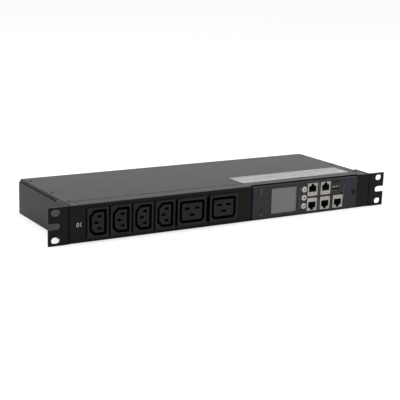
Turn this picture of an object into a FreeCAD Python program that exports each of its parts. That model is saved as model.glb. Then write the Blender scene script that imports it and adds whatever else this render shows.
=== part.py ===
import FreeCAD
import Part
import math
import os

os.makedirs("parts", exist_ok=True)
V = FreeCAD.Vector

# Driving dimensions in mm: rack standard
panel_width = 482.6
unit_height = 44.4
ear_thickness = 2.5
ear_reach = 25.3
ear_hole_inset = 8.75
ear_hole_pitch_z = 31.75
ear_slot_length = 10.4
ear_slot_width = 7.4
bracket_length = 32.0

# Housing of folded sheet
body_depth = 155.0
sheet = 1.2
bend = 1.6
cover_reveal = 3.5
cover_flange = 8.0
slack = 0.2
seam = 0.6
lid_gap = 1.3
top_flange = 18.0
panel_return = 12.0
corner_tab = 13.0
hook_reach = 8.0
hook_lap = 5.0
lip_lap = 4.0

# Posts under the cover
post_r = 3.2
post_inset = 8.5
post_front = 20.0
post_middle = 69.0
post_rear = 18.0

# Outlets: opening and core take the plug's shroud, pockets take its blades
outlet_margin = 34.3
blank_width = 15.0
c13_pitch = 29.0
c19_pitch = 44.7
c19_count = 2
outlet_group_gap = 3.4
flange_proud = 2.2
flange_corner = 1.4
core_recess = 0.4
core_corner = 1.0
ring_depth = 16.0
pocket_start = 7.0
pocket_room = 1.2
leaf = 0.6
leaf_length = 11.0
tail_thick = 0.8
C13 = dict(long=30.2, short=21.8, ring=3.3, chamfer=6.4, corner=2.4, flange=(26.7, 35.0), wall=1.2,
           depth=26.0, pin=(2.8, 5.2), spread=7.0, earth=2.0, upright=True, tail=4.0)
C19 = dict(long=34.4, short=27.2, ring=3.4, chamfer=3.8, corner=2.4, flange=(39.7, 34.0), wall=1.4,
           depth=28.0, pin=(7.2, 2.8), spread=6.7, earth=4.0, upright=False, tail=6.3)

# Busbars
bar = 1.5
bar_step = 4.0
bar_clear = 3.0
bar_overhang = 6.0
riser_width = 7.0
live_span = (2.5, 9.5)
neutral_span = (-9.5, -4.5)
earth_span = (-5.2, 1.2)
foot_length = 12.0

# Inlet on the rear wall, and its leads
inlet_margin = 66.0
inlet_flange = 3.0
inlet_depth = 24.0
inlet_cavity = 21.0
inlet_long = 30.4
inlet_short = 22.8
inlet_wall = 2.6
inlet_plate = (52.0, 32.0)
pin_size = (8.0, 2.0)
pin_tail = 32.0
pin_gap = 0.1
earth_screw_gap = 12.0
earth_screw_r = 2.0
earth_screw_head = (4.0, 2.4)
earth_screw_length = 3.6
lead_r = 2.0
strap = 1.0
strap_reach = 8.0
strap_foot = 10.0

# Boards inside
board = 1.6
board_lift = 6.2
board_clear = 17.0
standoff_r = 2.7
standoff_inset = 5.0
meter_width = 76.0
supply_width = 85.0
supply_rear = 8.3
sensor_width = 18.4
sensor_thick = 12.0
sensor_wall = 1.3
sensor_room = 0.6
ribbon = 1.0
ribbon_width = 7.0
ribbon_drop = 1.5
ribbon_reach = 10.0
plug_size = (8.0, 10.0)
chip = 12.0
coil_size = (24.0, 20.0)
coil_core = 10.0
winding_size = (17.0, 13.0)
winding_length = 20.0
can_r = 6.5

# Meter module: front, with places measured from the nearer end of its film
bay_margin = 19.2
bay_notch = 5.5
bay_gap = 2.1
bezel_drop = 1.7
bezel_wall = 2.0
bezel_rim = 1.6
bezel_depth = 5.0
film = 0.3
film_width = 155.4
film_edge = 0.7
window_left = 27.6
window_right = 89.3
window_high = 32.6
button_right = 77.1
button_pitch = 10.8
button_r = 3.8
button_gap = 0.3
button_rise = 0.8
button_lip = 0.9
button_edge = 0.5
button_travel = 0.8
reset_at = (12.5, -11.0)
reset_r = 1.0
lamp_right = (29.0, 25.2, 21.4)
lamp_z = 16.2
lamp_size = (1.4, 1.8)
screw_side = 5.1
screw_edge = 5.0
screw_r = 1.6
screw_head = (3.1, 2.0)

# Meter module: inside
module_depth = 92.0
module_sheet = 1.0
module_side = 9.0
module_pcb = 2.0
module_pcb_right = 7.1
display_thick = 4.6
display_border = 2.0
display_left = 2.6
display_right = 4.4
switch_size = 6.2
switch_high = 2.4
plunger_r = 1.45
stem = 2.6
plunger_gap = 0.5
nut_tab = 5.0
nut_gap = 3.4
header_depth = 16.0
header_width = 28.0
header_high = 7.2

# Jacks and socket
jack_right = 64.0
jack_pitch = 20.95
jack_size = (15.9, 16.9)
jack_lift = 0.3
jack_depth = 21.0
jack_proud = 0.5
jack_skin = 0.4
jack_cavity = 13.5
plug_half = 5.9
plug_span = (5.2, 13.0)
key_half = 3.0
key_top = 14.6
latch_half = 1.9
latch_top = 16.0
jack_room = 0.4
usb_right = 25.9
usb_z = 8.4
usb_size = (12.6, 5.4)
usb_depth = 16.0
usb_lip = 0.25
tongue_back = 1.4
usb_heel = 5.4
usb_base = 3.0
tongue = (10.4, 1.8)

# Frame: origin on the rail face of the ears, at the centre of their slots
body_width = panel_width - 2 * ear_reach
ear_hole_pitch_x = panel_width - 2 * ear_hole_inset
half_w = body_width / 2
front_y = -ear_thickness
back_y = front_y + body_depth
top_z = unit_height / 2
floor_z = -top_z + sheet
ceiling_z = top_z - sheet
wall_top = top_z - cover_reveal
panel_back = front_y + sheet
tray_front = front_y + panel_return + slack


def place_x(u, v, w):
    return V(w, u, v)


def place_y(u, v, w):
    return V(u, w, v)


def place_z(u, v, w):
    return V(u, v, w)


def outline(points, radii, at):
    """Closed wire through flat corners, each rounded by its radius."""
    if not isinstance(radii, (list, tuple)):
        radii = [radii] * len(points)
    corners = []
    for i, (u, v) in enumerate(points):
        here = V(u, v, 0)
        if radii[i] <= 0:
            corners.append((here, None, here))
            continue
        to_last = (V(*points[i - 1], 0) - here).normalize()
        to_next = (V(*points[(i + 1) % len(points)], 0) - here).normalize()
        half = to_last.getAngle(to_next) / 2
        middle = (to_last + to_next).normalize()
        reach = radii[i] / math.tan(half)
        top = here + middle * (radii[i] / math.sin(half) - radii[i])
        corners.append((here + to_last * reach, top, here + to_next * reach))
    edges = []
    for i, (start, top, end) in enumerate(corners):
        if top is not None:
            edges.append(Part.Arc(at(start.x, start.y), at(top.x, top.y), at(end.x, end.y)).toShape())
        following = corners[(i + 1) % len(corners)][0]
        if (following - end).Length > 1e-6:
            edges.append(Part.makeLine(at(end.x, end.y), at(following.x, following.y)))
    return Part.Wire(edges)


def prism(points, radii, low, high, place=place_y):
    wire = outline(points, radii, lambda u, v: place(u, v, low))
    return Part.Face(wire).extrude(place(0, 0, high - low))


def rect(u0, u1, v0, v1):
    return [(u0, v0), (u1, v0), (u1, v1), (u0, v1)]


def around(u, v, width, height):
    return rect(u - width / 2, u + width / 2, v - height / 2, v + height / 2)


def slot(u, v, length, width, low, high):
    """Round-ended slot through Y, its length along X."""
    reach = (length - width) / 2
    middle = box(u - reach, u + reach, low, high, v - width / 2, v + width / 2)
    ends = [rod(width / 2, V(u + end, low, v), V(u + end, high, v)) for end in (-reach, reach)]
    return fused(middle, *ends)


def hexagon(x, y, r):
    corners = [math.radians(60 * i + 30) for i in range(6)]
    return [(x + r * math.cos(a), y + r * math.sin(a)) for a in corners]


def box(x0, x1, y0, y1, z0, z1):
    return Part.makeBox(x1 - x0, y1 - y0, z1 - z0, V(x0, y0, z0))


def rod(radius, start, end):
    way = end - start
    return Part.makeCylinder(radius, way.Length, start, way)


def turned(profile, origin, axis):
    """Solid of revolution from (radius, height) corners, height along the axis."""
    points = [V(r, 0, h) for r, h in profile]
    face = Part.Face(Part.makePolygon(points + points[:1]))
    solid = face.revolve(V(0, 0, 0), V(0, 0, 1), 360)
    solid.Placement = FreeCAD.Placement(origin, FreeCAD.Rotation(V(0, 0, 1), axis))
    return solid


def fused(first, *others):
    return first.fuse(list(others)).removeSplitter()


def cut(shape, *tools):
    return shape.cut(list(tools)).removeSplitter()


def group(solids):
    return Part.makeCompound(solids)


def export(node, shape):
    shape.exportStep(os.path.join("parts", node + ".step"))


# Places along the front: the module from the right, its window between the left margin and the buttons
bay_width = bay_gap + film_edge + film_width + screw_side + screw_edge + seam
bay_x1 = half_w - bay_margin
bay_x0 = bay_x1 - bay_width
module_x = bay_x0 + bay_gap
film_x0 = module_x + film_edge
film_x1 = film_x0 + film_width
fix_x = film_x1 + screw_side
bezel_x1 = fix_x + screw_edge
bezel_z = top_z - bezel_drop
bezel_back = front_y + bezel_wall
film_front = front_y - film
window_size = (film_width - window_left - window_right, window_high)
window_at = (film_x0 + window_left + window_size[0] / 2, 0.0)
press_x = film_x1 - button_right
reset_x = film_x0 + reset_at[0]
reset_z = reset_at[1]
jack_xs = [film_x1 - jack_right + jack_pitch * i for i in range(3)]
usb_x = film_x1 - usb_right
lamp_xs = [film_x1 - x for x in lamp_right]

# Outlets from the left: as many of the small ones as leave a blank stretch beside the bay
c13_x0 = -half_w + outlet_margin
c13_wide = C13["flange"][0]
c19_wide = C19["flange"][0]
c19_group = c19_wide + (c19_count - 1) * c19_pitch
c13_end = bay_x0 - blank_width - c19_group - outlet_group_gap
c13_count = 1 + int((c13_end - c13_wide / 2 - c13_x0) // c13_pitch)
c13_xs = [c13_x0 + c13_pitch * i for i in range(c13_count)]
c19_first = c13_xs[-1] + c13_wide / 2 + outlet_group_gap + c19_wide / 2
c19_xs = [c19_first + c19_pitch * i for i in range(c19_count)]
outlets = [(x, C13) for x in c13_xs] + [(x, C19) for x in c19_xs]

# Places along the sides and at the rear
post_ys = (front_y + post_front, front_y + post_middle, back_y - post_rear)
post_spots = [(side * (half_w - post_inset), y) for side in (-1, 1) for y in post_ys]
inlet_x = -half_w + inlet_margin
inlet_width = inlet_long + 2 * inlet_wall
inlet_height = inlet_short + 2 * inlet_wall
earth_screw_x = inlet_x + inlet_plate[0] / 2 + earth_screw_gap


def turned_round(u, v, kind):
    """From along the outlet and towards its earth pin to across and up."""
    return (-v, u) if kind["upright"] else (u, -v)


def socket_outline(kind, inset, place_at):
    """Corners and radii of an outlet's opening, drawn in by the inset."""
    u = kind["long"] / 2 - inset
    v = kind["short"] / 2 - inset
    slant = kind["chamfer"] - inset * (2 - math.sqrt(2))
    soft = max(kind["corner"] - inset, core_corner)
    points = [(-u, -v), (u, -v), (u, v - slant), (u - slant, v), (-u + slant, v), (-u, v - slant)]
    points = [turned_round(a, b, kind) for a, b in points]
    return [(place_at + a, b) for a, b in points], [soft, soft, 0, 0, 0, 0]


def pins_of(kind):
    """Pin places in the order live, neutral, earth."""
    spread = kind["spread"] if kind["upright"] else -kind["spread"]
    flat = [(spread, -kind["earth"]), (-spread, -kind["earth"]), (0, kind["earth"])]
    return [turned_round(u, v, kind) for u, v in flat]


def pin_room(kind):
    """Width across and height of a pin slot as it lies in the outlet."""
    along, towards = kind["pin"]
    return (towards, along) if kind["upright"] else (along, towards)


def housing_size(kind):
    wide = kind["long"] + 2 * kind["wall"]
    tall = kind["short"] + 2 * kind["wall"]
    return (tall, wide) if kind["upright"] else (wide, tall)


def outlet_body(x, kind):
    face_y = front_y - flange_proud
    rear_y = front_y + kind["depth"]
    body = fused(prism(around(x, 0, *kind["flange"]), flange_corner, face_y, front_y),
                 prism(around(x, 0, *housing_size(kind)), 0, front_y, rear_y))
    ring = prism(*socket_outline(kind, 0, x), face_y - 1, face_y + ring_depth)
    core = prism(*socket_outline(kind, kind["ring"], x), face_y + core_recess, face_y + ring_depth + 1)
    tools = [ring.cut(core)]
    room_w, room_h = pin_room(kind)
    for px, pz in pins_of(kind):
        tools.append(prism(around(x + px, pz, room_w, room_h), 0, face_y - 1, rear_y))
        tools.append(prism(around(x + px, pz, room_w + 2 * slack, room_h + pocket_room), 0,
                           face_y + pocket_start, rear_y + 1))
    return cut(body, *tools)


def outlet_contact(x, z, kind, tail_end):
    """Two spring leaves, a bridge and a tail that reaches its busbar."""
    room_w, room_h = pin_room(kind)
    start = front_y - flange_proud + pocket_start + 2 * slack
    bridge = start + leaf_length
    end = bridge + 2 * leaf
    half_h = (room_h + pocket_room) / 2 - slack
    half_x = room_w / 2 - slack
    leaves = [(bridge, -half_h), (start, -half_h), (start, -half_h + leaf), (bridge, -half_h + leaf),
              (bridge, half_h - leaf), (start, half_h - leaf), (start, half_h), (end, half_h),
              (end, tail_thick / 2), (tail_end, tail_thick / 2), (tail_end, -tail_thick / 2),
              (end, -tail_thick / 2), (end, -half_h)]
    spring = prism([(y, z + v) for y, v in leaves], 0, x - half_x, x + half_x, place_x)
    tail_half = kind["tail"] / 2
    if tail_half >= half_x:
        return spring
    sides = [box(x - half_x, x - tail_half, end, tail_end + 1, z - leaf, z + leaf),
             box(x + tail_half, x + half_x, end, tail_end + 1, z - leaf, z + leaf)]
    return cut(spring, *sides)


# Front panel: a pan with a long top flange, cut for the row of outlets and the meter bay
flange_half = half_w - corner_tab
long_profile = [(front_y, -top_z), (front_y + panel_return, -top_z), (front_y + panel_return, floor_z),
                (panel_back, floor_z), (panel_back, ceiling_z), (front_y + top_flange, ceiling_z),
                (front_y + top_flange, top_z), (front_y, top_z)]
end_profile = long_profile[:4] + [(panel_back, top_z), (front_y, top_z)]
front_panel = prism(long_profile, [bend, 0, 0, 0, 0, 0, 0, bend], -flange_half, flange_half, place_x)
ends = []
for side in (-1, 1):
    low, high = sorted((side * flange_half, side * half_w))
    ends.append(prism(end_profile, [bend, 0, 0, 0, 0, 0], low, high, place_x))
    low, high = sorted((side * (half_w - sheet), side * half_w))
    ends.append(box(low, high, panel_back, front_y + panel_return, -top_z, wall_top))
front_panel = fused(front_panel, *ends)
plan = prism(rect(-half_w, half_w, front_y, front_y + top_flange), [bend, bend, 0, 0], -top_z, top_z, place_z)
front_panel = front_panel.common(plan)
holes = [box(bay_x0, bay_x1, front_y - 1, front_y + bay_notch, floor_z + slack, top_z + 1)]
for kind, first, last in ((C13, c13_xs[0], c13_xs[-1]), (C19, c13_xs[-1], c19_xs[-1])):
    half_x = housing_size(kind)[0] / 2 + slack
    half_z = housing_size(kind)[1] / 2 + slack
    holes.append(box(first - half_x, last + half_x, front_y - 1, panel_back + 1, -half_z, half_z))
nut_y = bezel_back + nut_gap
tab = fused(box(bay_x1, bay_x1 + 2 * sheet, front_y + slack, nut_y + sheet, -nut_tab, nut_tab),
            box(fix_x - nut_tab, bay_x1 + 2 * sheet, nut_y, nut_y + sheet, -nut_tab, nut_tab))
nut_hole = rod(screw_r + pin_gap, V(fix_x, nut_y - 1, 0), V(fix_x, nut_y + 2 * sheet, 0))
front_panel = cut(fused(cut(front_panel, *holes), tab), nut_hole)
export("front_panel", front_panel)

# Chassis tray: floor, side walls and rear wall, with a joggled lip on the panel's return
tray = box(-half_w, half_w, tray_front, back_y, -top_z, wall_top)
folds = []
for edge in tray.Edges:
    middle = edge.CenterOfMass
    low = abs(middle.z + top_z) < 1e-6 and middle.y > tray_front + 1
    rear = abs(middle.y - back_y) < 1e-6 and abs(abs(middle.x) - half_w) < 1e-6
    if low or rear:
        folds.append(edge)
tray = tray.makeFillet(bend, folds)
inside = box(-half_w + sheet, half_w - sheet, tray_front - 1, back_y - sheet, floor_z, top_z)
lip = box(-half_w + 2 * sheet, half_w - 2 * sheet, front_y + bay_notch + 1, tray_front + lip_lap,
          floor_z, floor_z + sheet)
wall_in = back_y - 2 * sheet
holes = [prism(around(inlet_x, 0, inlet_width + 2 * slack, inlet_height + 2 * slack), 0, wall_in, back_y + 1)]
holes.append(rod(earth_screw_r + pin_gap, V(earth_screw_x, wall_in, 0), V(earth_screw_x, back_y + 1, 0)))
chassis_tray = cut(fused(cut(tray, inside), lip), *holes)
export("chassis_tray", chassis_tray)

# Top cover: flanges inside the tray's walls, a hook strip under the panel's flange
cover_half = half_w - sheet - slack
cover_back = back_y - sheet - slack
cover_front = front_y + top_flange + lid_gap
tab_front = panel_back + slack
cover = box(-cover_half, cover_half, tab_front, cover_back, top_z - cover_flange, top_z)
folds = []
for edge in cover.Edges:
    middle = edge.CenterOfMass
    high = abs(middle.z - top_z) < 1e-6 and middle.y > tab_front + 1
    rear = abs(middle.y - cover_back) < 1e-6 and abs(abs(middle.x) - cover_half) < 1e-6
    if high or rear:
        folds.append(edge)
cover = cover.makeFillet(bend, folds)
inside = box(-cover_half + sheet, cover_half - sheet, front_y, cover_back - sheet, -top_z, ceiling_z)
notch = box(-flange_half - seam, flange_half + seam, front_y, cover_front, -top_z, top_z + 1)
hook_half = flange_half - hook_reach
hook = box(-hook_half, hook_half, cover_front - hook_reach, cover_front + hook_lap,
           ceiling_z - sheet, ceiling_z)
export("top_cover", fused(cut(cover, inside, notch), hook))
posts = [prism(hexagon(x, y, post_r), 0, floor_z, ceiling_z, place_z) for x, y in post_spots]
export("cover_posts", group(posts))

# Rack ears: L-brackets against the sides
for side, node in ((-1, "rack_ear_left"), (1, "rack_ear_right")):
    inner = side * half_w
    plate = side * (half_w + ear_thickness)
    outer = side * panel_width / 2
    rear = front_y + bracket_length
    points = [(inner, front_y), (outer, front_y), (outer, 0), (plate, 0), (plate, rear), (inner, rear)]
    ear = prism(points, [ear_thickness, 0, 0, 0, 0, 0], -top_z, top_z, place_z)
    holes = []
    for z in (-ear_hole_pitch_z / 2, ear_hole_pitch_z / 2):
        holes.append(slot(side * ear_hole_pitch_x / 2, z, ear_slot_length, ear_slot_width, front_y - 1, 1))
    open_length = 2 * (panel_width / 2 - ear_hole_pitch_x / 2) + ear_slot_length
    open_x = side * (ear_hole_pitch_x / 2 + (open_length - ear_slot_length) / 2)
    holes.append(slot(open_x, 0, open_length, ear_slot_width, front_y - 1, 1))
    export(node, cut(ear, *holes))

# Outlets, their contacts and the busbars behind them
for number, x in enumerate(c13_xs, 1):
    export("c13_outlet_%d" % number, outlet_body(x, C13))
for number, x in enumerate(c19_xs, 1):
    export("c19_outlet_%d" % number, outlet_body(x, C19))
earth_y = front_y + max(C13["depth"], C19["depth"]) + bar_clear
neutral_y = earth_y + bar_step
live_y = neutral_y + bar_step
contacts = []
for x, kind in outlets:
    for (px, pz), end in zip(pins_of(kind), (live_y, neutral_y, earth_y)):
        contacts.append(outlet_contact(x + px, pz, kind, end))
export("outlet_contacts", group(contacts))

pin_spread = C19["spread"]
pin_rise = C19["earth"]
live_x = inlet_x - pin_spread
neutral_x = inlet_x + pin_spread
bar_x0 = c13_xs[0] - bar_overhang
bar_x1 = c19_xs[-1] + pin_spread + bar_overhang
pass_room = lead_r + sensor_room
passage = box(neutral_x - pass_room, neutral_x + pass_room, live_y - 1, live_y + bar + 1,
              live_span[0] - 1, pin_rise + pass_room)
export("live_busbar", cut(box(bar_x0, bar_x1, live_y, live_y + bar, *live_span), passage))
risers = []
for x in [x + pin_spread for x in c19_xs] + [neutral_x]:
    risers.append(box(x - riser_width / 2, x + riser_width / 2, neutral_y, neutral_y + bar,
                      neutral_span[0], pin_rise + lead_r))
export("neutral_busbar", fused(box(bar_x0, bar_x1, neutral_y, neutral_y + bar, *neutral_span), *risers))
foot_x = bar_x0 - foot_length
foot_y = earth_y + foot_length
foot_profile = [(earth_y, earth_span[1]), (earth_y, floor_z), (foot_y, floor_z), (foot_y, floor_z + bar),
                (earth_y + bar, floor_z + bar), (earth_y + bar, earth_span[1])]
export("earth_busbar", fused(box(foot_x, bar_x1, earth_y, earth_y + bar, *earth_span),
                             prism(foot_profile, 0, foot_x, foot_x + riser_width, place_x)))

# Rear inlet, drawn facing forward and then turned to face the rear
inlet_kind = dict(C19, long=inlet_long, short=inlet_short)
turn = FreeCAD.Placement(V(inlet_x, back_y, 0), FreeCAD.Rotation(V(0, 0, 1), 180))


def faced_back(shape):
    shape.Placement = turn.multiply(shape.Placement)
    return shape


pin_w, pin_t = pin_size
shell = fused(prism(around(0, 0, *inlet_plate), 2 * flange_corner, -inlet_flange, 0),
              prism(around(0, 0, inlet_width, inlet_height), 0, 0, inlet_depth))
tools = [prism(*socket_outline(inlet_kind, 0, 0), -inlet_flange - 1, inlet_cavity - inlet_flange)]
inlet_pins = []
for px, pz in pins_of(inlet_kind):
    tools.append(prism(around(px, pz, pin_w + pin_gap, pin_t + pin_gap), 0, 0, inlet_depth + 1))
    pin = fused(prism(around(px, pz, pin_w, pin_t), 0, 0, inlet_depth + 1),
                prism(around(px, pz, C19["tail"], tail_thick), 0, inlet_depth + 1, pin_tail))
    inlet_pins.append(faced_back(pin))
export("c20_inlet", faced_back(cut(shell, *tools)))
export("inlet_pins", group(inlet_pins))
head_r, head_h = earth_screw_head
stud_end = back_y - earth_screw_length
export("earth_screw", fused(prism(hexagon(earth_screw_x, 0, head_r), 0, back_y, back_y + head_h),
                            rod(earth_screw_r, V(earth_screw_x, stud_end, 0), V(earth_screw_x, back_y, 0))))

# Leads: live and neutral run to their busbars, the earth strap goes down to the floor
tail_y = back_y - pin_tail
export("live_lead", rod(lead_r, V(live_x, tail_y, pin_rise), V(live_x, live_y + bar, pin_rise)))
export("neutral_lead", rod(lead_r, V(neutral_x, tail_y, pin_rise), V(neutral_x, neutral_y + bar, pin_rise)))
strap_y = tail_y - strap_reach
strap_z = -pin_rise + strap / 2
strap_profile = [(tail_y, strap_z), (strap_y, strap_z), (strap_y, floor_z + strap),
                 (strap_y - strap_foot, floor_z + strap), (strap_y - strap_foot, floor_z),
                 (strap_y + strap, floor_z), (strap_y + strap, strap_z - strap), (tail_y, strap_z - strap)]
strap_half = C19["tail"] / 2
export("earth_lead", prism(strap_profile, [0, 2 * strap, strap, 0, 0, 2 * strap, strap, 0],
                           inlet_x - strap_half, inlet_x + strap_half, place_x))

# Boards on the floor: metering round the live lead, supply behind the meter module
board_z = floor_z + board_lift
on_board = board_z + board
board_y0 = live_y + board_clear
board_y1 = strap_y - strap_foot - 2 * strap
sensor_x1 = live_x + lead_r + sensor_room + sensor_wall
sensor_x0 = sensor_x1 - sensor_width
meter_x0 = sensor_x0 - 2 * standoff_inset
meter_x1 = meter_x0 + meter_width
plug_x = window_at[0] + plug_size[1]
supply_x0 = plug_x - plug_size[1] - 2 * standoff_inset
supply_x1 = supply_x0 + supply_width
supply_y0 = module_depth + ribbon_reach
supply_y1 = back_y - sheet - supply_rear
pcb_half = module_pcb / 2
ribbon_z1 = -pcb_half - ribbon_drop
ribbon_z0 = ribbon_z1 - ribbon_width
chips = []
for x in (meter_x1 - 2 * chip, meter_x1 - 3.5 * chip):
    chips.append(box(x, x + chip, board_y0 + chip, board_y0 + 2 * chip, on_board, on_board + board))
export("metering_board", fused(box(meter_x0, meter_x1, board_y0, board_y1, board_z, on_board), *chips))
supply_plug = box(plug_x - plug_size[1] / 2, plug_x + plug_size[1] / 2, supply_y0, supply_y0 + plug_size[0],
                  on_board, ribbon_z1 + ribbon)
export("supply_board", fused(box(supply_x0, supply_x1, supply_y0, supply_y1, board_z, on_board), supply_plug))
sensor_y = (board_y0 + board_y1) / 2
sensor_top = pin_rise + sensor_width / 2
sensor = box(sensor_x0, sensor_x1, sensor_y - sensor_thick / 2, sensor_y + sensor_thick / 2,
             on_board, sensor_top)
sensor_hole = rod(lead_r + sensor_room, V(live_x, sensor_y - sensor_thick, pin_rise),
                  V(live_x, sensor_y + sensor_thick, pin_rise))
export("current_transformer", cut(sensor, sensor_hole))
coil_x = plug_x + plug_size[1] + coil_size[0] / 2
coil_y = (supply_y0 + supply_y1) / 2
coil_z = on_board + coil_size[1] / 2
can_x = coil_x + coil_size[0] / 2 + 2 * can_r
coil = fused(prism(around(coil_x, coil_z, *coil_size), 0, coil_y - coil_core / 2, coil_y + coil_core / 2),
             prism(around(coil_x, coil_z, *winding_size), 0,
                   coil_y - winding_length / 2, coil_y + winding_length / 2))
can = rod(can_r, V(can_x, coil_y, on_board), V(can_x, coil_y, on_board + coil_size[1]))
export("supply_components", group([coil, can]))

standoffs = []
floor_boards = [(meter_x0, meter_x1, board_y0, board_y1), (supply_x0, supply_x1, supply_y0, supply_y1)]
for x0, x1, y0, y1 in floor_boards:
    for x in (x0 + standoff_inset, x1 - standoff_inset):
        for y in (y0 + standoff_inset, y1 - standoff_inset):
            standoffs.append(prism(hexagon(x, y, standoff_r), 0, floor_z, board_z, place_z))

# Meter module: bezel and film share their openings
buttons = [("up", button_pitch), ("select", 0.0), ("down", -button_pitch)]
usb_w, usb_h = usb_size
deep = (front_y - 3, bezel_back + 1)
jack_half = jack_size[0] / 2 + jack_room
jack_low = pcb_half + jack_lift
jack_high = jack_low + jack_size[1]
openings = [prism(around(*window_at, *window_size), 0, *deep)]
for i, x in enumerate(jack_xs):
    upper = jack_high + jack_room if i < 2 else jack_low
    openings.append(prism(rect(x - jack_half, x + jack_half, -jack_high - jack_room, upper), 0, *deep))
usb_room = 2 * (usb_lip + slack)
openings.append(prism(around(usb_x, usb_z, usb_w + usb_room, usb_h + usb_room), 0, *deep))
for _, z in buttons:
    openings.append(rod(button_r + button_gap, V(press_x, deep[0], z), V(press_x, deep[1], z)))
openings.append(rod(reset_r, V(reset_x, deep[0], reset_z), V(reset_x, deep[1], reset_z)))
for x in lamp_xs:
    openings.append(prism(around(x, lamp_z, lamp_size[0] + 2 * slack, lamp_size[1] + 2 * slack), 0, *deep))
bezel = prism(rect(module_x, bezel_x1, -bezel_z, bezel_z), 0, front_y, front_y + bezel_depth)
hollow = box(module_x + bezel_rim, bezel_x1 - bezel_rim, bezel_back, front_y + bezel_depth + 1,
             -bezel_z + bezel_rim, bezel_z - bezel_rim)
fix_hole = rod(screw_r + 2 * slack, V(fix_x, deep[0], 0), V(fix_x, deep[1], 0))
export("module_bezel", cut(bezel, hollow, fix_hole, *openings))
film_z = bezel_z - film_edge
film_plate = prism(rect(film_x0, film_x1, -film_z, film_z), 0, film_front, front_y)
export("module_overlay", cut(film_plate, *openings))
export("display_window", prism(around(*window_at, window_size[0] - slack, window_size[1] - slack), 0,
                               film_front, bezel_back - slack / 2))

# Display, switches and buttons
seat_y = bezel_back + slack / 2
display_back = seat_y + display_thick
display_w = window_size[0] + 3 * display_border
display_h = window_size[1] + 2 * display_border
export("display_panel", prism(around(*window_at, display_w, display_h), 0, seat_y, display_back))
display_edge = press_x + display_right
display_z = bezel_z - bezel_rim - bezel_wall / 2
export("display_board", box(module_x + bezel_rim + display_left, display_edge,
                            display_back, display_back + board, -display_z, display_z))
switch_front = display_back - switch_high
switch_floor = display_back - 2 * slack
plunger_end = switch_floor - button_travel - slack / 2
well_size = 2 * (plunger_r + button_gap)
switches = []
for x, z in [(press_x, z) for _, z in buttons] + [(reset_x, reset_z)]:
    well = prism(around(x, z, well_size, well_size), 0, switch_front - 1, switch_floor)
    switches.append(cut(prism(around(x, z, switch_size, switch_size), 0, switch_front, display_back), well))
export("tact_switches", group(switches))
button_top = film_front - button_rise
lip_y = seat_y + button_rise
lip_r = button_r + button_lip
button_profile = [(0, button_top), (button_r - button_edge, button_top), (button_r, button_top + button_edge),
                  (button_r, seat_y), (lip_r, seat_y), (lip_r, lip_y), (0, lip_y)]
for name, z in buttons:
    export("button_" + name, turned(button_profile, V(press_x, 0, z), V(0, 1, 0)))
    export("plunger_" + name, prism(around(press_x, z, stem, stem), 0, lip_y, plunger_end))
reset_y = seat_y + plunger_gap
export("reset_plunger", rod(plunger_r, V(reset_x, reset_y, reset_z), V(reset_x, plunger_end, reset_z)))

# Module board on its tray, with the jacks on both faces
tray_z = floor_z + sheet
module_floor = tray_z + module_sheet
module_x0 = module_x + bezel_rim
module_x1 = bezel_x1 - bezel_rim
module_y0 = front_y + bezel_depth
module_y1 = module_depth + 2 * module_sheet
u_profile = [(module_x0, tray_z), (module_x1, tray_z), (module_x1, tray_z + module_side),
             (module_x1 - module_sheet, tray_z + module_side), (module_x1 - module_sheet, module_floor),
             (module_x0 + module_sheet, module_floor), (module_x0 + module_sheet, tray_z + module_side),
             (module_x0, tray_z + module_side)]
export("module_tray", prism(u_profile, 0, module_y0, module_y1))
board_x0 = display_edge + 2 * slack
board_x1 = film_x1 - module_pcb_right
header_y = display_back + board
header_x = window_at[0] - header_depth
module_board = [(board_x0, bezel_back + slack), (board_x1, bezel_back + slack), (board_x1, module_depth),
                (header_x, module_depth), (header_x, header_y + header_depth / 2),
                (board_x0, header_y + header_depth / 2)]
header = box(window_at[0] - header_width / 2, window_at[0] + header_width / 2,
             header_y, header_y + header_depth, pcb_half, pcb_half + header_high)
ribbon_plug = box(plug_x - plug_size[1], plug_x + plug_size[1], module_depth - plug_size[0], module_depth,
                  ribbon_z0 - ribbon, -pcb_half)
export("module_board", fused(prism(module_board, 0, -pcb_half, pcb_half, place_z), header, ribbon_plug))
for x in (header_x + standoff_inset, board_x1 - standoff_inset):
    for y in (header_y + header_depth, module_depth - standoff_inset):
        standoffs.append(prism(hexagon(x, y, standoff_r), 0, module_floor, -pcb_half, place_z))
export("standoffs", group(standoffs))
export("control_ribbon", box(plug_x, plug_x + ribbon, module_depth, supply_y0, ribbon_z0, ribbon_z1))


def latch_outline(x, up):
    """Plug opening of a jack, stepped towards its latch."""
    half = [(plug_half, plug_span[0]), (plug_half, plug_span[1]), (key_half, plug_span[1]),
            (key_half, key_top), (latch_half, key_top), (latch_half, latch_top)]
    right = [(x + u, up * (jack_low + v)) for u, v in half]
    left = [(x - u, up * (jack_low + v)) for u, v in reversed(half)]
    return right + left


def jack_block(x, up, inset, y0, y1):
    low_z, high_z = sorted((up * (jack_low + inset), up * (jack_high - inset)))
    return box(x - jack_size[0] / 2 + inset, x + jack_size[0] / 2 - inset, y0, y1, low_z, high_z)


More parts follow.
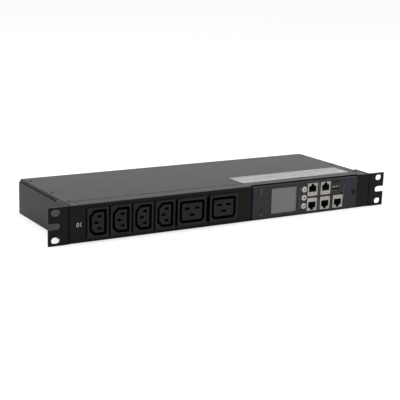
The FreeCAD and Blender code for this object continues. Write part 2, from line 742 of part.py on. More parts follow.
jack_front = front_y - jack_proud
jack_back = jack_front + jack_depth
insert_skin = jack_skin + slack / 4
jack_spots = [(jack_xs[0], 1), (jack_xs[1], 1), (jack_xs[0], -1), (jack_xs[1], -1), (jack_xs[2], -1)]
for number, (x, up) in enumerate(jack_spots, 1):
    can = cut(jack_block(x, up, 0, jack_front, jack_back),
              jack_block(x, up, jack_skin, jack_front + jack_skin, jack_back + 1),
              prism(latch_outline(x, up), 0, jack_front - 1, jack_front + 2 * jack_skin))
    export("network_jack_%d" % number, can)
    plug_room = prism(latch_outline(x, up), 0, jack_front - 1, jack_front + jack_cavity)
    insert = jack_block(x, up, insert_skin, jack_front + insert_skin, jack_back)
    export("jack_insert_%d" % number, cut(insert, plug_room))

# USB socket on its base, status light pipe and captive screw
usb_back = jack_front + usb_depth
usb_skin = 2 * jack_skin
usb_shell = fused(prism(around(usb_x, usb_z, usb_w, usb_h), 0, jack_front + usb_lip, usb_back),
                  prism(around(usb_x, usb_z, usb_w + 2 * usb_lip, usb_h + 2 * usb_lip), 0,
                        jack_front, jack_front + usb_lip))
usb_inside = prism(around(usb_x, usb_z, usb_w - usb_skin, usb_h - usb_skin), 0, jack_front - 1, usb_back + 1)
export("usb_shell", cut(usb_shell, usb_inside))
fill_w = usb_w - 2 * insert_skin
fill_h = usb_h - 2 * insert_skin
heel = usb_back - usb_heel
tongue_front = jack_front + tongue_back
usb_profile = [(tongue_front, usb_z + slack), (heel, usb_z + slack), (heel, usb_z - fill_h / 2),
               (usb_back, usb_z - fill_h / 2), (usb_back, pcb_half), (usb_back + usb_base, pcb_half),
               (usb_back + usb_base, usb_z + fill_h / 2), (heel, usb_z + fill_h / 2),
               (heel, usb_z + slack + tongue[1]), (tongue_front, usb_z + slack + tongue[1])]
export("usb_insert", fused(prism(usb_profile, 0, usb_x - tongue[0] / 2, usb_x + tongue[0] / 2, place_x),
                           prism(around(usb_x, usb_z, fill_w, fill_h), 0, heel, usb_back)))
pipe_y = usb_back + plug_size[0]
pipe_w, pipe_h = lamp_size
pipe_z0 = lamp_z - pipe_h / 2
pipe_z1 = lamp_z + pipe_h / 2
bend_profile = [(film_front, pipe_z1), (film_front, pipe_z0), (pipe_y, pipe_z0), (pipe_y, pcb_half),
                (pipe_y + pipe_h, pcb_half), (pipe_y + pipe_h, pipe_z0), (pipe_y, pipe_z1)]
arms = [prism(bend_profile, 0, x - pipe_w / 2, x + pipe_w / 2, place_x) for x in lamp_xs]
bridge = box(lamp_xs[0], lamp_xs[-1], pipe_y, pipe_y + pipe_h, lamp_z - 2 * pipe_h, lamp_z - pipe_h)
export("status_light_pipe", fused(bridge, *arms))
head_r, head_h = screw_head
screw_end = nut_y + 2 * sheet - front_y
screw_profile = [(0, -head_h), (head_r, -head_h), (head_r, 0), (screw_r, 0), (screw_r, screw_end),
                 (0, screw_end)]
export("module_screw", turned(screw_profile, V(fix_x, front_y, 0), V(0, 1, 0)))
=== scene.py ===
import math
import random

import bmesh
import bpy
from mathutils import Matrix, Vector


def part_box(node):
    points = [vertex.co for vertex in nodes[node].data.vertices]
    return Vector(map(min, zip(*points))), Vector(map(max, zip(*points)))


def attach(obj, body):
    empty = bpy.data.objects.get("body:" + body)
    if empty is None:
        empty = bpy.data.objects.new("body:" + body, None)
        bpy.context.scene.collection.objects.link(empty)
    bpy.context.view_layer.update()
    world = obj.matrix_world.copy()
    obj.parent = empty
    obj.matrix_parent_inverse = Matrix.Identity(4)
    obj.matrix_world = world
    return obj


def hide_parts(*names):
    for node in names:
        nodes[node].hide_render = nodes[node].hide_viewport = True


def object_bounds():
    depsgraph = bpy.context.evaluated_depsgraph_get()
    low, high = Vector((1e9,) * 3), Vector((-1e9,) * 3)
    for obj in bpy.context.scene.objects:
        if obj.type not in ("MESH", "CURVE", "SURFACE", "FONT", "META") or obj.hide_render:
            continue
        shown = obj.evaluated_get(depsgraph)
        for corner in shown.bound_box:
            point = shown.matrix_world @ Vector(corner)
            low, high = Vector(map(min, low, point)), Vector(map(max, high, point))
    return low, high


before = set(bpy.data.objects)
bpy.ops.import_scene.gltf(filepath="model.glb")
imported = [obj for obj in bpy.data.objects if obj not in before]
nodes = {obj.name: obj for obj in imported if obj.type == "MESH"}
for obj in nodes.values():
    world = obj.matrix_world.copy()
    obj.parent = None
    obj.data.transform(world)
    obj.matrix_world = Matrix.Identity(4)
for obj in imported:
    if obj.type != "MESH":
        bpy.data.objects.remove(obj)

cad_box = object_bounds()
mm = 0.001
body = "unit"
rng = random.Random(19)

# Places read from the frame
panel_low, panel_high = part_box("front_panel")
cover_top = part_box("top_cover")[1].z
film_low, film_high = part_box("module_overlay")
inlet_low, inlet_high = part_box("c20_inlet")
posts_low, posts_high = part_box("cover_posts")
screw_low, screw_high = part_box("module_screw")
usb_low, usb_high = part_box("usb_shell")
jacks = [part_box("network_jack_%d" % i) for i in range(1, 6)]
c13_nodes = ["c13_outlet_%d" % i for i in range(1, 5)]
c19_nodes = ["c19_outlet_%d" % i for i in range(1, 3)]
jack_nodes = ["network_jack_%d" % i for i in range(1, 6)]
insert_nodes = ["jack_insert_%d" % i for i in range(1, 6)]
button_names = ["up", "select", "down"]
coat_tint = (1.0, 0.965, 1.0, 1)

# Sizes and places of what is dressed on
left_stripe = 2.2 * mm
right_stripe = (7.7 * mm, 2.9 * mm)
ear_thickness = 2.5 * mm
ear_screw_y = 15.5 * mm
ear_screw_z = 12 * mm
post_reach = 3.2 * mm
post_half = 2.77 * mm
middle_post_y = 66.5 * mm
inlet_screw_reach = 21.5 * mm
thumb_shank_r = 1.6 * mm
thumb_slot = (0.45 * mm, 0.9 * mm)
thumb_turn = math.radians(25)
contact_path = [(12.8, 5.4), (7.6, 5.4), (6.9, 5.7), (7.0, 6.1), (12.6, 9.0)]
contact_wire = 0.45 * mm
contact_pitch = 1.02 * mm
contact_thick = 0.3 * mm
print_thick = 0.02 * mm
number_x = -204 * mm
number_z = -1 * mm
number_size = 7.4 * mm
label_x = (28 * mm, 197 * mm)
label_y = (17 * mm, 50.5 * mm)
label_thick = 0.1 * mm
label_line = 1.3 * mm
label_pitch = 4.2 * mm
label_margin = 4 * mm


# Node helpers

def add(tree, kind, inputs=None, **settings):
    """A shader node with its settings made and its inputs set or linked."""
    node = tree.nodes.new("ShaderNode" + kind)
    for name, value in settings.items():
        setattr(node, name, value)
    for key, value in (inputs or {}).items():
        if isinstance(value, bpy.types.NodeSocket):
            tree.links.new(value, node.inputs[key])
        else:
            node.inputs[key].default_value = value
    return node


def new_material(name, **sockets):
    """A principled material; each socket is named by its words joined with underscores."""
    material = bpy.data.materials.new(name)
    material.use_nodes = True
    shader = material.node_tree.nodes["Principled BSDF"]
    for key, value in sockets.items():
        shader.inputs[key.replace("_", " ")].default_value = value
    return material, material.node_tree, shader


def grey(value):
    return (value, value, value, 1)


def place(tree):
    return add(tree, "TexCoord").outputs["Object"]


def noise(tree, scale, detail=2.0, stretch=None):
    """Noise over the row frame; stretch draws it out along an axis."""
    where = place(tree)
    if stretch:
        where = add(tree, "Mapping", {"Vector": where, "Scale": stretch}).outputs[0]
    return add(tree, "TexNoise", {"Vector": where, "Scale": scale, "Detail": detail}).outputs[0]


def span(tree, value, low, high, out_low=0.0, out_high=1.0):
    return add(tree, "MapRange", {0: value, 1: low, 2: high, 3: out_low, 4: out_high}).outputs[0]


def mixed(tree, factor, first, second):
    node = add(tree, "Mix", {0: factor, 6: first, 7: second}, data_type="RGBA")
    return node.outputs[2]


def bump(tree, shader, height, distance, strength):
    node = add(tree, "Bump", {"Height": height, "Distance": distance, "Strength": strength})
    tree.links.new(node.outputs[0], shader.inputs["Normal"])


def highlight_edge_mask(tree, radius):
    """One along edges, nought on open faces."""
    soft = add(tree, "Bevel", {"Radius": radius}, samples=4).outputs[0]
    flat = add(tree, "NewGeometry").outputs["True Normal"]
    same = add(tree, "VectorMath", {0: soft, 1: flat}, operation="DOT_PRODUCT").outputs["Value"]
    return span(tree, same, 0.985, 0.80)


def coated(name, dark, light, rough, grain, depth, ior=1.33):
    """Painted or moulded surface: cloudy colour, grain, and a painted highlight that lightens the base
    colour along edges.
    """
    material, tree, shader = new_material(name, IOR=ior, Specular_Tint=coat_tint)
    clouds = noise(tree, 45.0, 4.0)
    colour = mixed(tree, span(tree, clouds, 0.35, 0.65), grey(dark), grey(light))
    edges = highlight_edge_mask(tree, 0.5 * mm)
    # Painted highlight: along edges the base colour is mixed up to halfway towards 2.2 times the light tone.
    colour = mixed(tree, span(tree, edges, 0, 1, 0, 0.5), colour, grey(light * 2.2))
    tree.links.new(colour, shader.inputs["Base Color"])
    tree.links.new(span(tree, clouds, 0.3, 0.7, rough - 0.015, rough + 0.015), shader.inputs["Roughness"])
    bump(tree, shader, noise(tree, grain, 2.0), depth, 0.5)
    return material


def metal(name, colour, rough, along=(1, 1, 12), tone=0.82):
    """Bare metal with fine drawing lines and a faint cloud of tarnish."""
    material, tree, shader = new_material(name, Metallic=1.0)
    lines = noise(tree, 900.0, 3.0, along)
    clouds = noise(tree, 160.0, 3.0)
    dull = tuple(tone * c for c in colour) + (1,)
    tree.links.new(mixed(tree, span(tree, clouds, 0.35, 0.7), tuple(colour) + (1,), dull),
                   shader.inputs["Base Color"])
    tree.links.new(span(tree, lines, 0.3, 0.7, rough - 0.08, rough + 0.1), shader.inputs["Roughness"])
    bump(tree, shader, lines, 0.01 * mm, 0.3)
    return material


def plastic(name, colour, rough, grain=1800.0, depth=0.01 * mm, ior=1.45):
    material, tree, shader = new_material(name, IOR=ior)
    clouds = noise(tree, 120.0, 3.0)
    low = tuple(0.88 * c for c in colour) + (1,)
    tree.links.new(mixed(tree, clouds, low, tuple(colour) + (1,)), shader.inputs["Base Color"])
    tree.links.new(span(tree, clouds, 0.3, 0.7, rough - 0.05, rough + 0.05), shader.inputs["Roughness"])
    bump(tree, shader, noise(tree, grain, 2.0), depth, 0.4)
    return material


def band(tree, where, low, high, soft):
    """One between two places, nought outside."""
    rise = span(tree, where, low - soft, low + soft)
    fall = span(tree, where, high - soft, high + soft, 1, 0)
    return add(tree, "Math", {0: rise, 1: fall}, operation="MULTIPLY").outputs[0]


def outlet_material():
    """Moulded black, satin on the face; deep in the recesses the specular level is cut as painted shade on
    their walls.
    """
    material = coated("socket_black", 0.004, 0.0055, 0.46, 2400.0, 0.02 * mm, 1.315)
    tree = material.node_tree
    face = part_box(c13_nodes[0])[0].y
    depth = add(tree, "SeparateXYZ", {0: place(tree)}).outputs["Y"]
    # Painted shade: reflection falls from 0.5 to 0.05 between 0.6 mm and 1.6 mm behind the outlet face,
    # darkening the recess walls.
    recess_shade_level = span(tree, depth, face + 0.6 * mm, face + 1.6 * mm, 0.5, 0.05)
    tree.links.new(recess_shade_level, tree.nodes["Principled BSDF"].inputs["Specular IOR Level"])
    return material


def film_material():
    """Printed film: velvet grey face with an indigo stripe near each end, the right one fading downwards."""
    material, tree, shader = new_material("overlay_film", IOR=1.35, Specular_Tint=coat_tint)
    axes = add(tree, "SeparateXYZ", {0: place(tree)}).outputs
    left = band(tree, axes["X"], film_low.x, film_low.x + left_stripe, 0.4 * mm)
    right = band(tree, axes["X"], film_high.x - right_stripe[0], film_high.x - right_stripe[1], 0.6 * mm)
    fade = span(tree, axes["Z"], film_low.z, 0.5 * film_high.z)
    right = add(tree, "Math", {0: right, 1: fade}, operation="MULTIPLY").outputs[0]
    stripes = add(tree, "Math", {0: left, 1: right}, operation="MAXIMUM").outputs[0]
    clouds = noise(tree, 60.0, 3.0)
    face = mixed(tree, clouds, grey(0.017), grey(0.022))
    tree.links.new(mixed(tree, stripes, face, (0.024, 0.019, 0.06, 1)), shader.inputs["Base Color"])
    tree.links.new(span(tree, clouds, 0.3, 0.7, 0.46, 0.56), shader.inputs["Roughness"])
    bump(tree, shader, noise(tree, 3200.0, 2.0), 0.01 * mm, 0.5)
    return material


def board_material():
    """Circuit board: green mask with copper shadows on its faces, tan laminate at its edges."""
    material, tree, shader = new_material("board_green", Roughness=0.4)
    up = add(tree, "SeparateXYZ", {0: add(tree, "NewGeometry").outputs["Normal"]}).outputs["Z"]
    flat = span(tree, add(tree, "Math", {0: up}, operation="ABSOLUTE").outputs[0], 0.4, 0.6)
    tracks = add(tree, "TexBrick", {"Vector": place(tree), "Scale": 180.0, "Mortar Size": 0.06,
                                    "Color1": (0.02, 0.11, 0.045, 1), "Color2": (0.025, 0.13, 0.05, 1),
                                    "Mortar": (0.05, 0.2, 0.08, 1)}).outputs[0]
    tree.links.new(mixed(tree, flat, (0.055, 0.042, 0.033, 1), tracks), shader.inputs["Base Color"])
    return material


def screen_material():
    """Unlit liquid crystal panel: grey-brown with a faint dot grid."""
    material, tree, shader = new_material("display_grey", Roughness=0.35, IOR=1.4)
    dots = add(tree, "TexChecker", {"Vector": place(tree), "Scale": 1600.0,
                                    "Color1": (0.124, 0.120, 0.122, 1), "Color2": (0.128, 0.124, 0.125, 1)})
    clouds = noise(tree, 30.0, 2.0)
    haze = span(tree, clouds, 0.3, 0.7, 0, 0.25)
    tree.links.new(mixed(tree, haze, dots.outputs[0], (0.155, 0.15, 0.15, 1)), shader.inputs["Base Color"])
    return material


def window_material():
    material, tree, shader = new_material("window_clear", Base_Color=(0.94, 0.95, 0.95, 1), IOR=1.45,
                                          Transmission_Weight=1.0)
    tree.links.new(span(tree, noise(tree, 90.0, 2.0), 0.3, 0.7, 0.03, 0.09), shader.inputs["Roughness"])
    return material


def paper_material():
    """Off-white label stock with a satin face, streaked along its length and darker towards the back."""
    material, tree, shader = new_material("label_paper", IOR=1.4)
    clouds = noise(tree, 260.0, 4.0, (0.08, 1, 1))
    across = add(tree, "SeparateXYZ", {0: place(tree)}).outputs["Y"]
    # The label colour is mixed towards dark grey from its front edge to its back.
    back_darkening = span(tree, across, 20 * mm, 50 * mm, 1.0, 0.78)
    paper = mixed(tree, span(tree, clouds, 0.3, 0.7), (0.33, 0.325, 0.335, 1), (0.66, 0.655, 0.665, 1))
    tree.links.new(mixed(tree, back_darkening, (0.18, 0.178, 0.185, 1), paper), shader.inputs["Base Color"])
    tree.links.new(span(tree, clouds, 0.3, 0.7, 0.45, 0.6), shader.inputs["Roughness"])
    bump(tree, shader, noise(tree, 1400.0, 3.0), 0.01 * mm, 0.4)
    return material


def ribbon_material():
    """Flat ribbon: grey strands side by side."""
    material, tree, shader = new_material("ribbon_grey", Roughness=0.5)
    strands = add(tree, "TexWave", {"Vector": place(tree), "Scale": 250.0}, bands_direction="Z").outputs[1]
    tree.links.new(mixed(tree, strands, grey(0.28), grey(0.42)), shader.inputs["Base Color"])
    bump(tree, shader, strands, 0.2 * mm, 0.6)
    return material


case_coat = coated("case_coat", 0.0035, 0.0046, 0.33, 1300.0, 0.03 * mm, 1.226)
socket_black = outlet_material()
inlet_black = coated("inlet_black", 0.004, 0.0055, 0.46, 2400.0, 0.02 * mm, 1.29)
bezel_grey = coated("bezel_grey", 0.015, 0.019, 0.5, 2200.0, 0.02 * mm, 1.36)
overlay_film = film_material()
screen_grey = screen_material()
window_clear = window_material()
jack_shield = metal("jack_shield", (0.385, 0.367, 0.347), 0.36)
zinc_steel = metal("zinc_steel", (0.62, 0.63, 0.65), 0.35, (12, 1, 1))
plated_pin = metal("plated_pin", (0.72, 0.71, 0.70), 0.25, (12, 1, 12))
contact_brass = metal("contact_brass", (0.72, 0.50, 0.24), 0.32, (12, 12, 1))
contact_gold = metal("contact_gold", (0.42, 0.29, 0.11), 0.35, (12, 1, 12))
# Painted shade: the USB shell's nickel is given a dim brown, the tone it shows in shadow.
shell_shaded = metal("shell_shaded", (0.13, 0.115, 0.10), 0.45)
screw_black = plastic("screw_black", (0.012, 0.012, 0.012), 0.5, ior=1.3)
insert_black = plastic("insert_black", (0.012, 0.011, 0.011), 0.5)
plunger_black = plastic("plunger_black", (0.02, 0.02, 0.02), 0.45)
component_black = plastic("component_black", (0.022, 0.022, 0.024), 0.4)
button_silver = plastic("button_silver", (0.66, 0.66, 0.66), 0.35, 2600.0, 0.006 * mm)
light_pipe = plastic("light_pipe", (0.002, 0.002, 0.002), 0.3, ior=1.12)
tongue_grey = plastic("tongue_grey", (0.30, 0.29, 0.28), 0.45)
lead_brown = plastic("lead_brown", (0.13, 0.05, 0.025), 0.45)
lead_blue = plastic("lead_blue", (0.03, 0.10, 0.36), 0.45)
print_white = plastic("print_white", (0.62, 0.62, 0.62), 0.5)
print_dim = plastic("print_dim", (0.20, 0.20, 0.205), 0.5)
print_dark = plastic("print_dark", (0.02, 0.02, 0.022), 0.4)
print_grey = plastic("print_grey", (0.30, 0.30, 0.31), 0.5)
board_green = board_material()
label_paper = paper_material()
ribbon_grey = ribbon_material()


def paint(material, *names):
    for name in names:
        slots = nodes[name].data.materials
        slots.clear()
        slots.append(material)


paint(case_coat, "front_panel", "chassis_tray", "top_cover", "rack_ear_left", "rack_ear_right")
paint(socket_black, *c13_nodes, *c19_nodes)
paint(inlet_black, "c20_inlet")
paint(bezel_grey, "module_bezel")
paint(overlay_film, "module_overlay")
paint(screen_grey, "display_panel")
paint(window_clear, "display_window")
paint(jack_shield, *jack_nodes)
paint(shell_shaded, "usb_shell")
paint(insert_black, *insert_nodes)
paint(tongue_grey, "usb_insert")
paint(zinc_steel, "cover_posts", "standoffs", "module_tray", "earth_screw")
paint(plated_pin, "inlet_pins")
paint(contact_brass, "outlet_contacts", "live_busbar", "neutral_busbar", "earth_busbar", "earth_lead")
paint(screw_black, "module_screw")
paint(board_green, "metering_board", "supply_board", "module_board", "display_board")
paint(component_black, "current_transformer", "supply_components", "tact_switches")
paint(button_silver, *["button_" + name for name in button_names])
paint(plunger_black, "reset_plunger", *["plunger_" + name for name in button_names])
paint(light_pipe, "status_light_pipe")
paint(lead_brown, "live_lead")
paint(lead_blue, "neutral_lead")
paint(ribbon_grey, "control_ribbon")


def soften(width, *names):
    """Small round on the hard edges of solids."""
    for name in names:
        thing = nodes[name]
        weld = thing.modifiers.new("weld", "WELD")
        weld.merge_threshold = 0.001 * mm
        flat = thing.modifiers.new("flat", "DECIMATE")
        flat.decimate_type = "DISSOLVE"
        flat.angle_limit = math.radians(0.5)
        edge = thing.modifiers.new("edge", "BEVEL")
        edge.width = width
        edge.segments = 2
        edge.limit_method = "ANGLE"
        edge.angle_limit = math.radians(35)
        edge.use_clamp_overlap = False
        smooth = thing.modifiers.new("normals", "WEIGHTED_NORMAL")
        smooth.keep_sharp = True


soften(0.3 * mm, "c20_inlet", "rack_ear_left", "rack_ear_right")
soften(0.15 * mm, "module_bezel", *c13_nodes, *c19_nodes)
soften(0.1 * mm, "usb_shell", *jack_nodes)


# Shapes

def on_front(u, v, w):
    return Vector((u, w, v))


def on_top(u, v, w):
    return Vector((u, v, w))


def on_side(u, v, w):
    return Vector((w, u, v))


def circle(u, v, r, count=32):
    steps = [2 * math.pi * i / count for i in range(count)]
    return [(u + r * math.cos(a), v + r * math.sin(a)) for a in steps]


def rounded(u0, u1, v0, v1, r, steps=6):
    """Rectangle with round corners."""
    corners = [(u1 - r, v1 - r, 0), (u0 + r, v1 - r, 90), (u0 + r, v0 + r, 180), (u1 - r, v0 + r, 270)]
    points = []
    for u, v, start in corners:
        for i in range(steps + 1):
            angle = math.radians(start + 90 * i / steps)
            points.append((u + r * math.cos(angle), v + r * math.sin(angle)))
    return points


def turned(points, u, v, degrees):
    """Points turned about a centre."""
    c, s = math.cos(math.radians(degrees)), math.sin(math.radians(degrees))
    return [(u + c * (a - u) - s * (b - v), v + s * (a - u) + c * (b - v)) for a, b in points]


def strip(path, thick):
    """Outline of a bent strip along a path."""
    sides = [[], []]
    for i, point in enumerate(path):
        before = Vector(path[max(i - 1, 0)])
        after = Vector(path[min(i + 1, len(path) - 1)])
        way = (after - before).normalized()
        out = Vector((-way.y, way.x)) * thick / 2
        sides[0].append(tuple(Vector(point) + out))
        sides[1].append(tuple(Vector(point) - out))
    return sides[0] + sides[1][::-1]


def slab(bm, outline, low, high, place_at):
    """Closed plate from a flat outline, between two heights."""
    base = [bm.verts.new(place_at(u, v, low)) for u, v in outline]
    top = [bm.verts.new(place_at(u, v, high)) for u, v in outline]
    bm.faces.new(base)
    bm.faces.new(top)
    for i in range(len(outline)):
        j = (i + 1) % len(outline)
        bm.faces.new((base[i], base[j], top[j], top[i]))


def lathe(bm, profile, count=40):
    """Closed solid of revolution about Z from (radius, height) corners that start and end on the axis."""
    rings = []
    for r, h in profile:
        flat = circle(0, 0, r, count) if r > 0 else [(0, 0)]
        rings.append([bm.verts.new((x, y, h)) for x, y in flat])
    for first, second in zip(rings, rings[1:]):
        for i in range(count):
            j = (i + 1) % count
            corners = [ring[k % len(ring)] for ring, k in ((first, i), (first, j), (second, j), (second, i))]
            bm.faces.new(list(dict.fromkeys(corners)))


def link(name, mesh):
    thing = bpy.data.objects.new(name, mesh)
    bpy.context.scene.collection.objects.link(thing)
    return thing


def to_mesh(name, bm):
    bmesh.ops.recalc_face_normals(bm, faces=bm.faces)
    mesh = bpy.data.meshes.new(name)
    bm.to_mesh(mesh)
    bm.free()
    return mesh


def piece(name, mesh, material, on=body):
    """A finished piece that rides a body."""
    if isinstance(mesh, bmesh.types.BMesh):
        mesh = to_mesh(name, mesh)
    mesh.name = name
    mesh.materials.append(material)
    thing = link(name, mesh)
    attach(thing, on)
    return thing


def carved(head, tool):
    """Mesh of one solid with another cut out of it."""
    solid = link("carved_solid", to_mesh("carved_solid", head))
    cutter = link("carved_tool", to_mesh("carved_tool", tool))
    cut = solid.modifiers.new("cut", "BOOLEAN")
    cut.object = cutter
    cut.operation = "DIFFERENCE"
    cut.solver = "EXACT"
    view = bpy.context.evaluated_depsgraph_get()
    mesh = bpy.data.meshes.new_from_object(solid.evaluated_get(view))
    bpy.data.objects.remove(solid)
    bpy.data.objects.remove(cutter)
    return mesh


def facing(position, axis):
    return Matrix.Translation(position) @ Vector(axis).to_track_quat("Z", "Y").to_matrix().to_4x4()


def stamped(mesh, places):
    """One mesh with a copy of another at each place."""
    bm = bmesh.new()
    for matrix in places:
        copy = mesh.copy()
        copy.transform(matrix)
        bm.from_mesh(copy)
        bpy.data.meshes.remove(copy)
    return bm


def cross_head(radius, height, edge, depth, sunk):
    """Screw head with a cross recess: its seat at height nought, its rim below that by sunk."""
    head = bmesh.new()
    lathe(head, [(0, height), (radius - 2.2 * edge, height), (radius - 0.8 * edge, height - 0.3 * edge),
                 (radius, height - edge), (radius, -sunk), (0, -sunk)])
    tool = bmesh.new()
    long, thin = 0.56 * radius, 0.15 * radius
    arms = [(long, thin), (thin, thin), (thin, long), (-thin, long), (-thin, thin), (-long, thin),
            (-long, -thin), (-thin, -thin), (-thin, -long), (thin, -long), (thin, -thin), (long, -thin)]
    slab(tool, arms, height - depth, height + depth, on_top)
    return carved(head, tool)


def make_screws():
    """Flush screws of the cover, and pan heads on the brackets and the inlet's flange."""
    flush = cross_head(2.7 * mm, 0.35 * mm, 0.3 * mm, 0.3 * mm, 0.5 * mm)
    post_x = posts_high.x - post_half
    rows = (posts_low.y + post_reach, middle_post_y, posts_high.y - post_reach)
    spots = [facing((side * post_x, y, cover_top), (0, 0, 1)) for side in (-1, 1) for y in rows]
    piece("cover_screws", stamped(flush, spots), screw_black)
    pan = cross_head(2.9 * mm, 1.5 * mm, 0.7 * mm, 1.0 * mm, 0.3 * mm)
    spots = []
    for side in (-1, 1):
        face = side * (panel_high.x + ear_thickness)
        for z in (-ear_screw_z, ear_screw_z):
            spots.append(facing((face, ear_screw_y, z), (side, 0, 0)))
    piece("ear_screws", stamped(pan, spots), screw_black)
    middle = (inlet_low.x + inlet_high.x) / 2
    spots = [facing((middle + side * inlet_screw_reach, inlet_high.y, 0), (0, 1, 0)) for side in (-1, 1)]
    piece("inlet_screws", stamped(pan, spots), screw_black)


def make_captive_screw():
    """Thumb screw of the meter module with a driver slot, in place of the plain one."""
    middle = Vector(((screw_low.x + screw_high.x) / 2, panel_low.y, (screw_low.z + screw_high.z) / 2))
    r = (screw_high.x - screw_low.x) / 2
    high = panel_low.y - screw_low.y
    deep = screw_high.y - panel_low.y
    head = bmesh.new()
    lathe(head, [(0, high), (0.8 * r, high), (0.95 * r, high - 0.1 * r), (r, high - 0.25 * r), (r, 0),
                 (thumb_shank_r, 0), (thumb_shank_r, -deep), (0, -deep)])
    tool = bmesh.new()
    half, sunk = thumb_slot
    slab(tool, rounded(-1.1 * r, 1.1 * r, -half, half, 0.1 * mm), high - sunk, high + mm, on_top)
    mesh = carved(head, tool)
    mesh.transform(facing(middle, (0, -1, 0)) @ Matrix.Rotation(thumb_turn, 4, "Z"))
    thing = piece("module_screw_slotted", mesh, screw_black)
    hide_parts("module_screw")


def make_jack_contacts():
    """Eight sprung gold wires in each network jack."""
    bm = bmesh.new()
    for low, high in jacks:
        up = 1 if low.z > 0 else -1
        seat = min(abs(low.z), abs(high.z))
        outline = strip([(low.y + y * mm, up * (seat + z * mm)) for y, z in contact_path], contact_thick)
        middle = (low.x + high.x) / 2
        for i in range(8):
            x = middle + (i - 3.5) * contact_pitch
            slab(bm, outline, x - contact_wire / 2, x + contact_wire / 2, on_side)
    piece("jack_contacts", bm, contact_gold)


def make_usb_contacts():
    bm = bmesh.new()
    low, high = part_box("usb_insert")
    middle = (low.x + high.x) / 2
    under = (usb_low.z + usb_high.z) / 2 + 0.2 * mm
    for x in (-3.5, -1.0, 1.0, 3.5):
        sides = (middle + (x - 0.5) * mm, middle + (x + 0.5) * mm)
        outline = rounded(*sides, low.y + 0.8 * mm, low.y + 7.5 * mm, 0.2 * mm)
        slab(bm, outline, under - 0.06 * mm, under + 0.1 * mm, on_top)
    piece("usb_contacts", bm, contact_gold)


def make_button_marks():
    """Dark mark on each button: a triangle, a dot and a slanted bar."""
    for name in button_names:
        low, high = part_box("button_" + name)
        x = (low.x + high.x) / 2
        z = (low.z + high.z) / 2
        bm = bmesh.new()
        if name == "up":
            outline = [(x - 1.5 * mm, z - 1.0 * mm), (x + 1.5 * mm, z - 1.0 * mm), (x, z + 1.6 * mm)]
        elif name == "select":
            outline = circle(x, z, 1.35 * mm)
        else:
            level = rounded(x - 1.7 * mm, x + 1.7 * mm, z - 0.75 * mm, z + 0.75 * mm, 0.7 * mm)
            outline = turned(level, x, z, 50)
        slab(bm, outline, low.y - 0.04 * mm, low.y + 0.2 * mm, on_front)
        piece("mark_" + name, bm, print_dark, on=name + "_button")


def bars(bm, spots, across, along, face, thick):
    """Small upright bars of print at (x, z) on the front."""
    for x, z in spots:
        slab(bm, rounded(x - across / 2, x + across / 2, z - along / 2, z + along / 2, 0.3 * across, 2),
             face - thick, face + thick, on_front)


def print_line(bm, x, low, high, face):
    """A line of tiny print that reads upwards, as bars of uneven length."""
    z = low
    while z < high:
        length = rng.uniform(0.7, 1.5) * mm
        bars(bm, [(x, z + length / 2)], 0.75 * mm, length, face, print_thick)
        z += length + rng.uniform(0.3, 0.6) * mm


def make_film_print():
    """Small print beside the reset hole, the buttons, the jacks and the socket, as plain bars."""
    face = film_low.y
    bm = bmesh.new()
    reset_x = (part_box("reset_plunger")[0].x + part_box("reset_plunger")[1].x) / 2
    print_line(bm, reset_x - 0.5 * mm, 9.5 * mm, 18 * mm, face)
    print_line(bm, reset_x, -18 * mm, -13 * mm, face)
    for name in button_names:
        low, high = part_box("button_" + name)
        z = (low.z + high.z) / 2
        print_line(bm, low.x - 1.9 * mm, z - 3.8 * mm, z + 3.8 * mm, face)
    first_gap = (jacks[0][1].x + jacks[1][0].x) / 2
    print_line(bm, first_gap, 1 * mm, 18 * mm, face)
    print_line(bm, first_gap, -17 * mm, -4 * mm, face)
    print_line(bm, jacks[4][1].x + 1.2 * mm, -8 * mm, 3.5 * mm, face)
    print_line(bm, usb_high.x + 6.9 * mm, 6 * mm, 10 * mm, face)
    piece("film_print", bm, print_dim)


def make_panel_number():
    """Plain number of the unit, beside the first outlet."""
    curve = bpy.data.curves.new("panel_number", "FONT")
    curve.body = "01"
    curve.size = number_size
    curve.align_x = "CENTER"
    curve.align_y = "CENTER"
    curve.extrude = 0.03 * mm
    words = link("panel_number_words", curve)
    view = bpy.context.evaluated_depsgraph_get()
    mesh = bpy.data.meshes.new_from_object(words.evaluated_get(view))
    bpy.data.objects.remove(words)
    upright = Matrix.Rotation(math.pi / 2, 4, "X")
    mesh.transform(Matrix.Translation((number_x, panel_low.y, number_z)) @ upright)
    piece("panel_number", mesh, print_white)


def make_label():
    """Pale sticker on the cover with plain fields of grey bars."""
    x0, x1 = label_x
    y0, y1 = label_y
    face = cover_top + label_thick
    bm = bmesh.new()
    slab(bm, rounded(x0, x1, y0, y1, 1.5 * mm), cover_top, face, on_top)
    piece("cover_label", bm, label_paper)
    bm = bmesh.new()
    ink = (face - print_thick, face + print_thick)
    y = y0 + label_margin
    while y < y1 - label_margin:
        x = x0 + 6 * mm
        while x < x1 - 22 * mm:
            length = rng.uniform(6, 20) * mm
            slab(bm, rounded(x, x + length, y, y + label_line, 0.3 * mm, 2), *ink, on_top)
            x += length + rng.uniform(2, 5) * mm
        y += label_pitch
    piece("label_print", bm, print_grey)


make_screws()
make_captive_screw()
make_jack_contacts()
make_usb_contacts()
make_button_marks()
make_film_print()
make_panel_number()
make_label()


# Camera at the photograph's viewing angle
azimuth = math.radians(-31.41)
elevation = math.radians(13.53)
roll = math.radians(1.71)
distance = 1312.6 * mm
look_at = Vector((8.7, 87.8, -13.05)) * mm
focal_pixels = 1005.0
frame_pixels = 400.0
sensor = 36.0


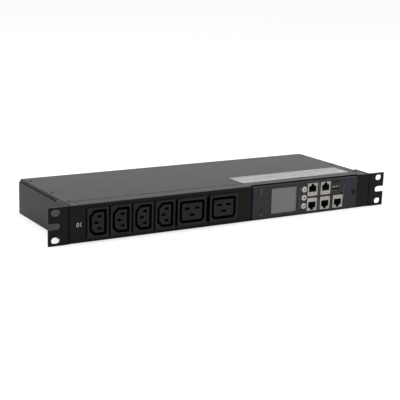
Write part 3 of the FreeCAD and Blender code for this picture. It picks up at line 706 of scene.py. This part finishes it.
def make_camera():
    back = Vector((math.sin(azimuth) * math.cos(elevation), -math.cos(azimuth) * math.cos(elevation),
                   math.sin(elevation)))
    level = Vector((math.cos(azimuth), math.sin(azimuth), 0))
    upright = back.cross(level)
    right = level * math.cos(roll) + upright * math.sin(roll)
    up = upright * math.cos(roll) - level * math.sin(roll)
    data = bpy.data.cameras.new("camera")
    data.sensor_width = sensor
    data.lens = focal_pixels / frame_pixels * sensor
    data.clip_end = 100.0
    camera = bpy.data.objects.new("camera", data)
    bpy.context.scene.collection.objects.link(camera)
    turn = Matrix((right, up, back)).transposed().to_4x4()
    camera.matrix_world = Matrix.Translation(look_at + back * distance) @ turn
    bpy.context.scene.camera = camera


def seen_white(tree, mirrored):
    """One for camera and glass rays, the given share for mirror rays, nought for the rest."""
    rays = add(tree, "LightPath").outputs
    share = span(tree, rays["Is Glossy Ray"], 0, 1, 0, mirrored)
    first = add(tree, "Math", {0: rays["Is Camera Ray"], 1: share}, operation="MAXIMUM")
    both = add(tree, "Math", {0: first.outputs[0], 1: rays["Is Transmission Ray"]}, operation="MAXIMUM")
    return both.outputs[0]


def make_world():
    world = bpy.data.worlds.new("studio")
    bpy.context.scene.world = world
    world.use_nodes = True
    tree = world.node_tree
    background = tree.nodes["Background"]
    background.inputs["Color"].default_value = (1, 1, 1, 1)
    tree.links.new(span(tree, seen_white(tree, 0.88), 0, 1, 0.55, 1.0), background.inputs["Strength"])


def make_floor():
    """Pale floor that shows white and still takes the object's shadow."""
    half = 30.0
    low = cad_box[0].z
    mesh = bpy.data.meshes.new("floor")
    mesh.from_pydata([(-half, -half, low), (half, -half, low), (half, half, low), (-half, half, low)], [],
                     [(0, 1, 2, 3)])
    floor = bpy.data.objects.new("floor", mesh)
    bpy.context.scene.collection.objects.link(floor)
    material, tree, shader = new_material("floor_pale", Base_Color=grey(0.72), Roughness=0.9)
    shader.inputs["Specular IOR Level"].default_value = 0.1
    glow = add(tree, "Emission", {"Color": (1, 1, 1, 1)})
    tree.links.new(span(tree, seen_white(tree, 0.7), 0, 1, 0, 0.55), glow.inputs["Strength"])
    total = add(tree, "AddShader", {0: shader.outputs[0], 1: glow.outputs[0]})
    tree.links.new(total.outputs[0], tree.nodes["Material Output"].inputs["Surface"])
    mesh.materials.append(material)


def lamp(name, position, target, size, power):
    data = bpy.data.lights.new(name, "AREA")
    data.shape = "RECTANGLE"
    data.size, data.size_y = size
    data.energy = power
    light = bpy.data.objects.new(name, data)
    light.location = position
    light.rotation_euler = (Vector(target) - Vector(position)).to_track_quat("-Z", "Y").to_euler()
    bpy.context.scene.collection.objects.link(light)


bpy.context.scene.view_settings.view_transform = "Standard"
make_camera()
make_world()
make_floor()
lamp("overhead", (0.1, 0.3, 1.9), (0, 0.08, 0), (1.6, 1.2), 16.0)
lamp("front_left", (-1.3, -1.6, 1.1), (0, 0, 0), (1.0, 0.8), 5.0)
